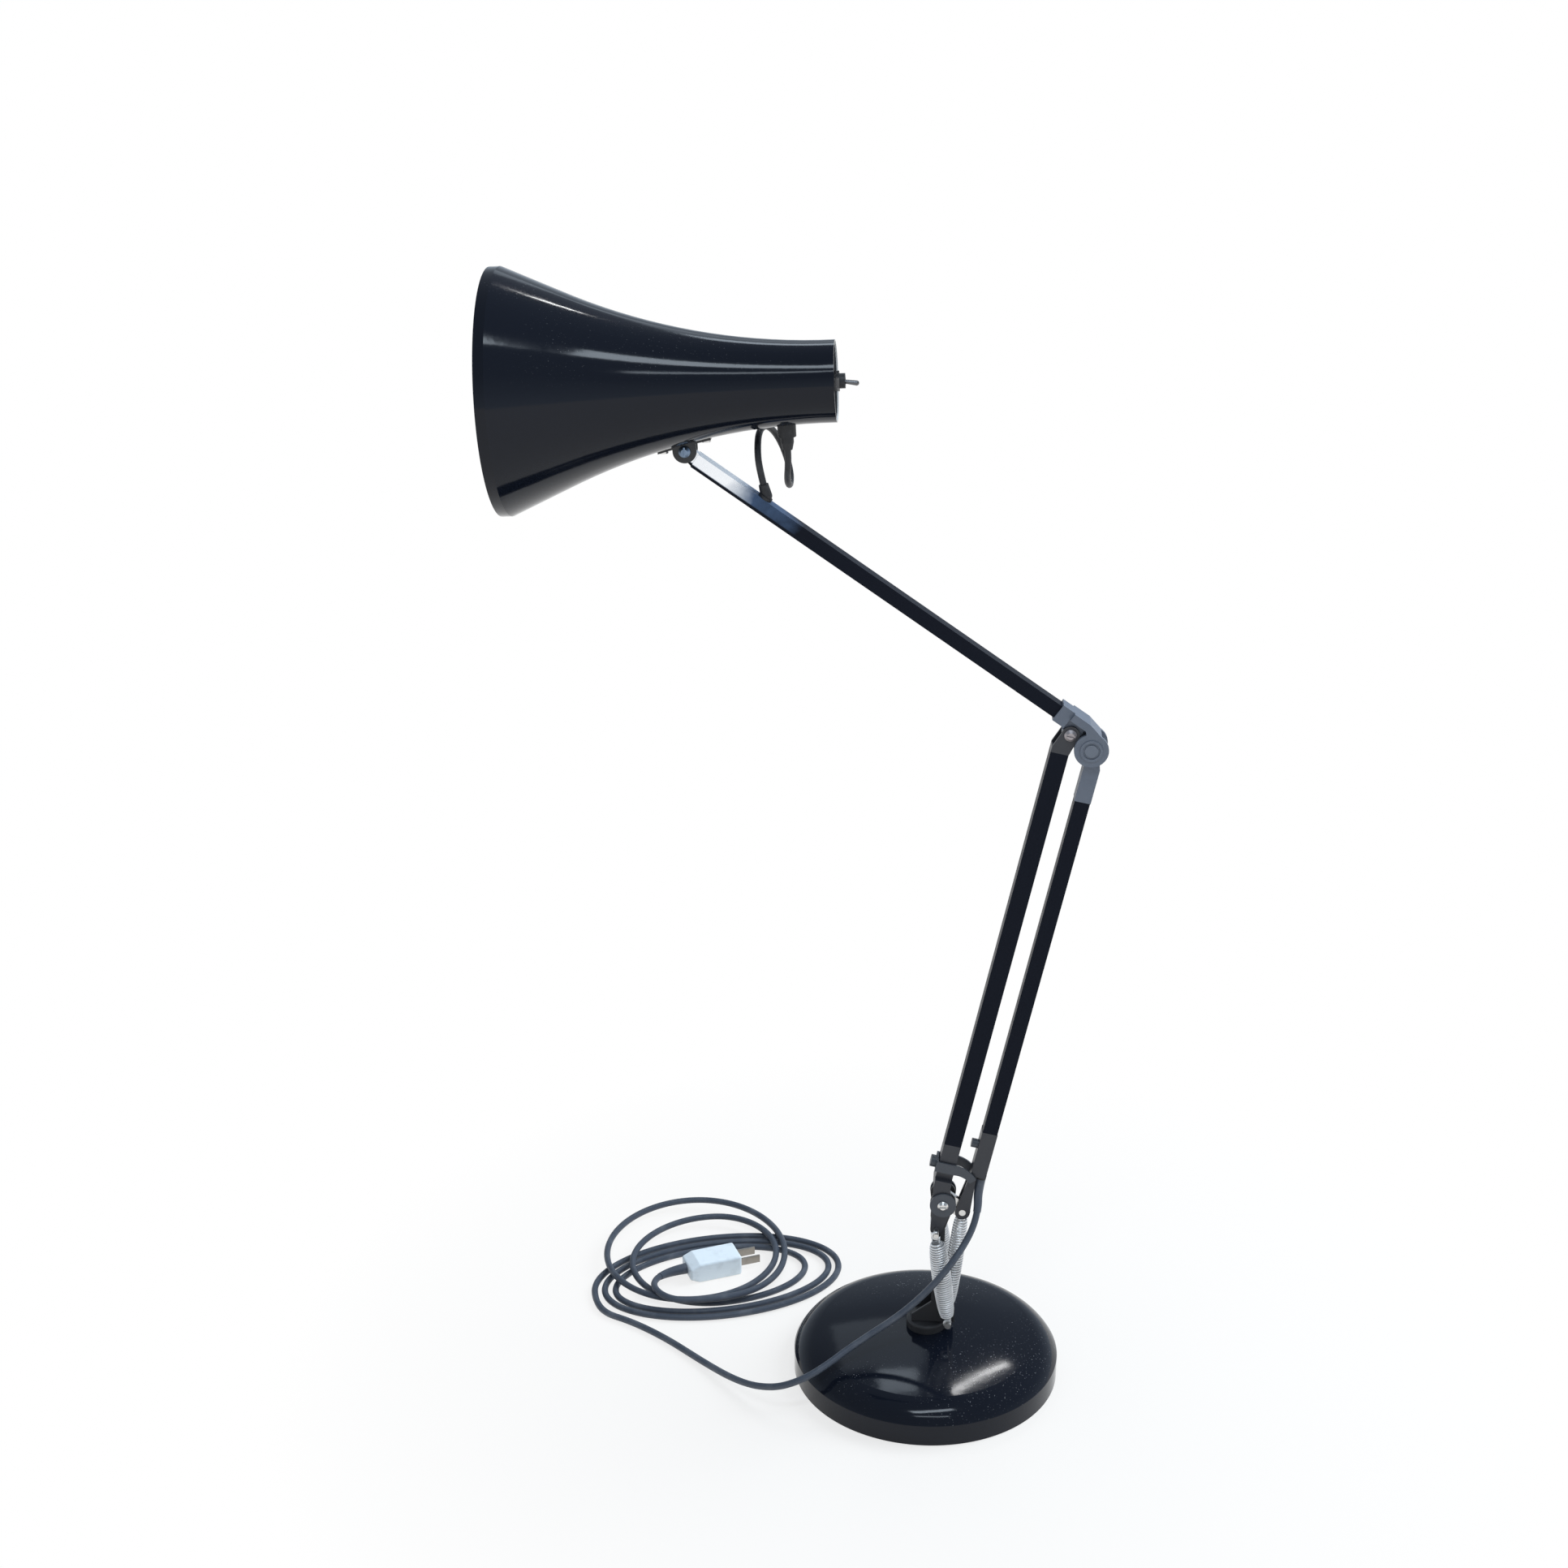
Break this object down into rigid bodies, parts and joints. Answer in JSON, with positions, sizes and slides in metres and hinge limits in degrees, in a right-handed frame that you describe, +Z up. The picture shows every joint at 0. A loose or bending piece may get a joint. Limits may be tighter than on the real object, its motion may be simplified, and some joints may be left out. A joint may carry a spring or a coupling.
{
  "type": "architect lamp",
  "caption": "Spring-balanced desk lamp: round weighted base, swivel bracket, twin-bar lower arm, single upper arm and a flared tilting shade with a rear toggle switch, mains lead and plug.",
  "frame": {"origin": "centre of the base's underside, on the surface it stands on", "axes": "+X to the right in the picture, +Y away from the camera, +Z up; the arms lie in the plane Y = 0"},
  "size_m": [0.4195, 0.3174, 0.8396],
  "materials": {
    "black_gloss": "gloss black paint",
    "black_satin": "satin black paint",
    "grey_plastic": "moulded grey",
    "cast_weight": "raw",
    "felt": "felt",
    "black_plastic": "moulded black",
    "bright_steel": "bright plated",
    "spring_steel": "drawn wire",
    "dark_washer": "blackened",
    "chrome": "polished",
    "black_rubber": "matt",
    "cord_grey": "satin sheath",
    "white_plastic": "moulded white",
    "pin_brass": "bright",
    "bulb_glass": "frosted"
  },
  "bodies": {
    "base": {"base_cover": "black_gloss", "base_weight": "cast_weight", "base_pad": "felt", "swivel_bush": "black_plastic"},
    "bracket": {"swivel_spindle": "bright_steel", "spindle_nut": "bright_steel", "fork_bracket": "black_satin", "pivot_bolt": "bright_steel", "pivot_washers": "dark_washer", "pivot_nut": "bright_steel", "spring_anchor": "bright_steel", "spring_front": "spring_steel", "spring_rear": "spring_steel", "spring_centre": "spring_steel", "mains_cord": "cord_grey", "cord_coil": "cord_grey", "plug_body": "white_plastic", "plug_pins": "pin_brass"},
    "lower_arm": {"main_tube": "black_satin", "arm_foot": "grey_plastic", "lever_pins": "bright_steel", "arm_top": "grey_plastic", "elbow_screw": "bright_steel", "guide_arch": "bright_steel", "clamp_bolt": "bright_steel"},
    "crank": {"crank": "bright_steel", "crank_pin": "bright_steel"},
    "control_rod": {"rod_tube": "black_satin", "rod_foot": "grey_plastic", "grip_screw": "bright_steel", "cord_bush": "black_rubber", "rod_sleeve": "grey_plastic"},
    "upper_arm": {"upper_tube": "black_satin", "elbow_housing": "grey_plastic", "tail_pin": "bright_steel", "knuckle_end": "chrome", "arm_grommet": "black_rubber"},
    "head": {"shade": "black_gloss", "rear_cap": "black_gloss", "switch_body": "black_plastic", "switch_nut": "chrome", "lampholder": "black_plastic", "bulb": "bulb_glass", "saddle": "black_satin", "saddle_rivets": "bright_steel", "tilt_bolt": "bright_steel", "lead_gland": "black_rubber", "head_lead": "cord_grey"},
    "switch": {"switch_lever": "chrome"}
  },
  "joints": [
    {"name": "base_swivel", "type": "hinge", "parent": "base", "child": "bracket", "pos_m": [0, 0, 0.045], "axis": [0, 0, 1], "continuous": true},
    {"name": "arm_lean", "type": "hinge", "parent": "bracket", "child": "lower_arm", "pos_m": [0.0104, 0, 0.1504], "axis": [0, 1, 0], "range_deg": [-45, 40], "deforming": ["spring_front", "spring_rear", "mains_cord"]},
    {"name": "elbow", "type": "hinge", "parent": "lower_arm", "child": "upper_arm", "pos_m": [0.08905, 0, 0.52524], "axis": [0, 1, 0], "range_deg": [-52, 36], "deforming": ["spring_centre"]},
    {"name": "crank_follow", "type": "hinge", "parent": "lower_arm", "child": "crank", "pos_m": [0.0104, 0, 0.1504], "axis": [0, 1, 0], "range_deg": [-52, 36]},
    {"name": "rod_follow", "type": "hinge", "parent": "crank", "child": "control_rod", "pos_m": [0.02502, 0, 0.14024], "axis": [0, 1, 0], "range_deg": [-36, 52]},
    {"name": "head_tilt", "type": "hinge", "parent": "upper_arm", "child": "head", "pos_m": [-0.17487, 0, 0.72023], "axis": [0, 1, 0], "range_deg": [-80, 20], "deforming": ["head_lead"]},
    {"name": "switch_toggle", "type": "hinge", "parent": "head", "child": "switch", "pos_m": [-0.07244, 0, 0.76842], "axis": [0, 1, 0], "range_deg": [-18, 0]}
  ],
  "couplings": [
    {"joint": "crank_follow", "follows": "elbow", "ratio": 1},
    {"joint": "rod_follow", "follows": "elbow", "ratio": -1}
  ]
}
